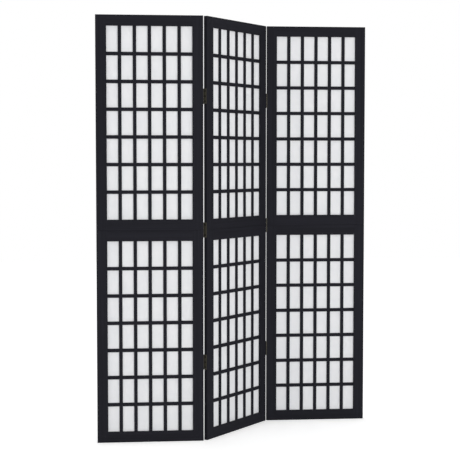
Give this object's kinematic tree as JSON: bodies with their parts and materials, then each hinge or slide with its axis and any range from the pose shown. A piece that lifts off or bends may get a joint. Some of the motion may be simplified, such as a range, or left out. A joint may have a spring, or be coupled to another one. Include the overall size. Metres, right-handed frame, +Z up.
{
  "type": "shoji folding screen",
  "caption": "Folding room divider of dark wooden frames with a square lattice over white paper, hinged edge to edge and standing in a zigzag.",
  "frame": {"origin": "on the floor under the middle of the middle panel, which is the middle of the whole screen's footprint as it stands", "axes": "+Z up; +X to the right along the two outer panels, seen from the front, where the lattice shows; +Y towards the back"},
  "size_m": [1.1434, 0.3488, 1.7],
  "materials": {
    "black_frame": "satin black paint on solid softwood",
    "black_lattice": "satin black paint on thin wooden bars",
    "white_paper": "matt white shoji paper",
    "bronzed_steel": "dark antique bronze plating, satin",
    "bronzed_screws": "dark antique bronze plating, satin",
    "bare_beech": "bare beech, hidden in the joints"
  },
  "bodies": {
    "middle_panel": {"left_joint_lower_hinge_middle_panel_leaf": "bronzed_steel", "left_joint_lower_hinge_pin": "bronzed_steel", "left_joint_middle_hinge_middle_panel_leaf": "bronzed_steel", "left_joint_middle_hinge_pin": "bronzed_steel", "left_joint_upper_hinge_middle_panel_leaf": "bronzed_steel", "left_joint_upper_hinge_pin": "bronzed_steel", "middle_panel_bottom_rail": "black_frame", "middle_panel_hinge_screws": "bronzed_screws", "middle_panel_lattice_crossbars": "black_lattice", "middle_panel_lattice_uprights": "black_lattice", "middle_panel_lower_left_stile": "black_frame", "middle_panel_lower_mid_rail": "black_frame", "middle_panel_lower_paper": "white_paper", "middle_panel_lower_right_stile": "black_frame", "middle_panel_seam_dowels": "bare_beech", "middle_panel_top_rail": "black_frame", "middle_panel_upper_left_stile": "black_frame", "middle_panel_upper_mid_rail": "black_frame", "middle_panel_upper_paper": "white_paper", "middle_panel_upper_right_stile": "black_frame", "right_joint_lower_hinge_middle_panel_leaf": "bronzed_steel", "right_joint_lower_hinge_pin": "bronzed_steel", "right_joint_middle_hinge_middle_panel_leaf": "bronzed_steel", "right_joint_middle_hinge_pin": "bronzed_steel", "right_joint_upper_hinge_middle_panel_leaf": "bronzed_steel", "right_joint_upper_hinge_pin": "bronzed_steel"},
    "left_panel": {"left_joint_lower_hinge_left_panel_leaf": "bronzed_steel", "left_joint_middle_hinge_left_panel_leaf": "bronzed_steel", "left_joint_upper_hinge_left_panel_leaf": "bronzed_steel", "left_panel_bottom_rail": "black_frame", "left_panel_hinge_screws": "bronzed_screws", "left_panel_lattice_crossbars": "black_lattice", "left_panel_lattice_uprights": "black_lattice", "left_panel_lower_left_stile": "black_frame", "left_panel_lower_mid_rail": "black_frame", "left_panel_lower_paper": "white_paper", "left_panel_lower_right_stile": "black_frame", "left_panel_seam_dowels": "bare_beech", "left_panel_top_rail": "black_frame", "left_panel_upper_left_stile": "black_frame", "left_panel_upper_mid_rail": "black_frame", "left_panel_upper_paper": "white_paper", "left_panel_upper_right_stile": "black_frame"},
    "right_panel": {"right_joint_lower_hinge_right_panel_leaf": "bronzed_steel", "right_joint_middle_hinge_right_panel_leaf": "bronzed_steel", "right_joint_upper_hinge_right_panel_leaf": "bronzed_steel", "right_panel_bottom_rail": "black_frame", "right_panel_hinge_screws": "bronzed_screws", "right_panel_lattice_crossbars": "black_lattice", "right_panel_lattice_uprights": "black_lattice", "right_panel_lower_left_stile": "black_frame", "right_panel_lower_mid_rail": "black_frame", "right_panel_lower_paper": "white_paper", "right_panel_lower_right_stile": "black_frame", "right_panel_seam_dowels": "bare_beech", "right_panel_top_rail": "black_frame", "right_panel_upper_left_stile": "black_frame", "right_panel_upper_mid_rail": "black_frame", "right_panel_upper_paper": "white_paper", "right_panel_upper_right_stile": "black_frame"}
  },
  "joints": [
    {"name": "left_fold", "type": "hinge", "parent": "middle_panel", "child": "left_panel", "pos_m": [-0.14584, -0.15612, 0.85], "axis": [0, 0, -1], "range_deg": [-49.7, 130.3]},
    {"name": "right_fold", "type": "hinge", "parent": "middle_panel", "child": "right_panel", "pos_m": [0.14584, 0.15612, 0.85], "axis": [0, 0, -1], "range_deg": [-49.7, 130.3]}
  ]
}
